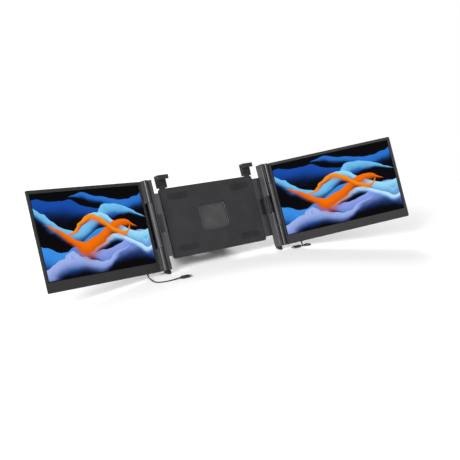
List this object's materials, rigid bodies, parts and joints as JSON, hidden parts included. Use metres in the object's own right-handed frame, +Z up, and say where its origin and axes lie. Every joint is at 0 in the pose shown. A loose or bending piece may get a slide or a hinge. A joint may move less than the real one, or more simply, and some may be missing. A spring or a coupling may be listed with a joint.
{
  "type": "laptop screen extender",
  "caption": "Screen extender with folding screens on knuckle hinges, a sliding frame that grips a laptop's lid from behind, a kickstand and short cables.",
  "frame": {"origin": "on the desk, at the middle of the object's outline without its cables, in the pose shown", "axes": "+X to the user's right along the lid, +Y away from the user, +Z up"},
  "size_m": [1.0762, 0.2972, 0.285],
  "materials": {
    "frame_grey": "anodised grey, bead blasted",
    "plate_aluminium": "anodised, fine brushed",
    "housing_black": "moulded, fine texture",
    "bezel_grey": "moulded ABS, satin",
    "case_black": "moulded ABS, fine texture",
    "grip_black": "moulded nylon",
    "rubber_black": "matt silicone rubber",
    "cable_black": "smooth cable jacket",
    "screw_steel": "zinc plated",
    "tray_white": "light guide, films and moulded tray",
    "port_steel": "nickel plated",
    "board_green": "solder mask",
    "screen_glass": "coated display glass with a lit picture"
  },
  "bodies": {
    "center_frame": {"housing_front": "housing_black", "housing_rear": "frame_grey", "back_pads": "rubber_black", "housing_screws": "screw_steel", "kickstand_pin": "screw_steel"},
    "kickstand": {"kickstand_leg": "frame_grey", "kickstand_foot": "rubber_black"},
    "left_wing": {"left_slide_plate": "plate_aluminium", "left_upright": "frame_grey", "left_side_grip": "grip_black", "left_grip_pad": "rubber_black", "left_grip_screws": "screw_steel", "left_gap_cover": "case_black", "left_foot_pad": "rubber_black", "left_hinge_pin": "screw_steel"},
    "left_clip": {"left_top_clip": "grip_black", "left_clip_pad": "rubber_black"},
    "left_screen": {"left_hinge_leaves": "frame_grey", "left_rear_cover": "case_black", "left_front_bezel": "bezel_grey", "left_glass": "screen_glass", "left_backlight": "tray_white", "left_mainboard": "board_green", "left_speakers": "case_black", "left_ports": "port_steel", "left_case_screws": "screw_steel", "left_cable_gland": "cable_black", "left_cable": "cable_black", "left_plug_grip": "cable_black", "left_plug_shell": "port_steel"},
    "left_power": {"left_power_button": "grip_black"},
    "left_menu": {"left_menu_key": "grip_black"},
    "right_wing": {"right_slide_plate": "plate_aluminium", "right_upright": "frame_grey", "right_side_grip": "grip_black", "right_grip_pad": "rubber_black", "right_grip_screws": "screw_steel", "right_gap_cover": "case_black", "right_foot_pad": "rubber_black", "right_hinge_pin": "screw_steel"},
    "right_clip": {"right_top_clip": "grip_black", "right_clip_pad": "rubber_black"},
    "right_screen": {"right_hinge_leaves": "frame_grey", "right_rear_cover": "case_black", "right_front_bezel": "bezel_grey", "right_glass": "screen_glass", "right_backlight": "tray_white", "right_mainboard": "board_green", "right_speakers": "case_black", "right_ports": "port_steel", "right_case_screws": "screw_steel", "right_cable_gland": "cable_black", "right_cable": "cable_black", "right_plug_grip": "cable_black", "right_plug_shell": "port_steel"},
    "right_power": {"right_power_button": "grip_black"},
    "right_menu": {"right_menu_key": "grip_black"}
  },
  "joints": [
    {"name": "left_wing_slide", "type": "slide", "parent": "center_frame", "child": "left_wing", "axis": [-1, 0, 0], "range_m": [-0.01, 0.02]},
    {"name": "left_clip_slide", "type": "slide", "parent": "left_wing", "child": "left_clip", "axis": [0, 0.3827, 0.9239], "range_m": [0, 0.025], "stiffness_N_per_m": 60, "springref_m": -0.05},
    {"name": "left_screen_swing", "type": "hinge", "parent": "left_wing", "child": "left_screen", "pos_m": [-0.18207, 0.04265, 0.11859], "axis": [0, 0.3827, 0.9239], "range_deg": [-45, 165]},
    {"name": "left_power_press", "type": "slide", "parent": "left_screen", "child": "left_power", "axis": [0.9659, 0.2391, -0.099], "range_m": [0, 0.0006], "stiffness_N_per_m": 1500, "springref_m": -0.0004},
    {"name": "left_menu_press", "type": "slide", "parent": "left_screen", "child": "left_menu", "axis": [0.9659, 0.2391, -0.099], "range_m": [0, 0.0006], "stiffness_N_per_m": 1500, "springref_m": -0.0004},
    {"name": "right_wing_slide", "type": "slide", "parent": "center_frame", "child": "right_wing", "axis": [1, 0, 0], "range_m": [-0.01, 0.02]},
    {"name": "right_clip_slide", "type": "slide", "parent": "right_wing", "child": "right_clip", "axis": [0, 0.3827, 0.9239], "range_m": [0, 0.025], "stiffness_N_per_m": 60, "springref_m": -0.05},
    {"name": "right_screen_swing", "type": "hinge", "parent": "right_wing", "child": "right_screen", "pos_m": [0.21093, 0.04635, 0.11706], "axis": [0, -0.3827, -0.9239], "range_deg": [-57.5, 152.5]},
    {"name": "right_power_press", "type": "slide", "parent": "right_screen", "child": "right_power", "axis": [-0.887, 0.4266, -0.1767], "range_m": [0, 0.0006], "stiffness_N_per_m": 1500, "springref_m": -0.0004},
    {"name": "right_menu_press", "type": "slide", "parent": "right_screen", "child": "right_menu", "axis": [-0.887, 0.4266, -0.1767], "range_m": [0, 0.0006], "stiffness_N_per_m": 1500, "springref_m": -0.0004},
    {"name": "kickstand_swing", "type": "hinge", "parent": "center_frame", "child": "kickstand", "pos_m": [0.01543, 0.09055, 0.148], "axis": [1, 0, 0], "range_deg": [-43.9, 16]}
  ]
}
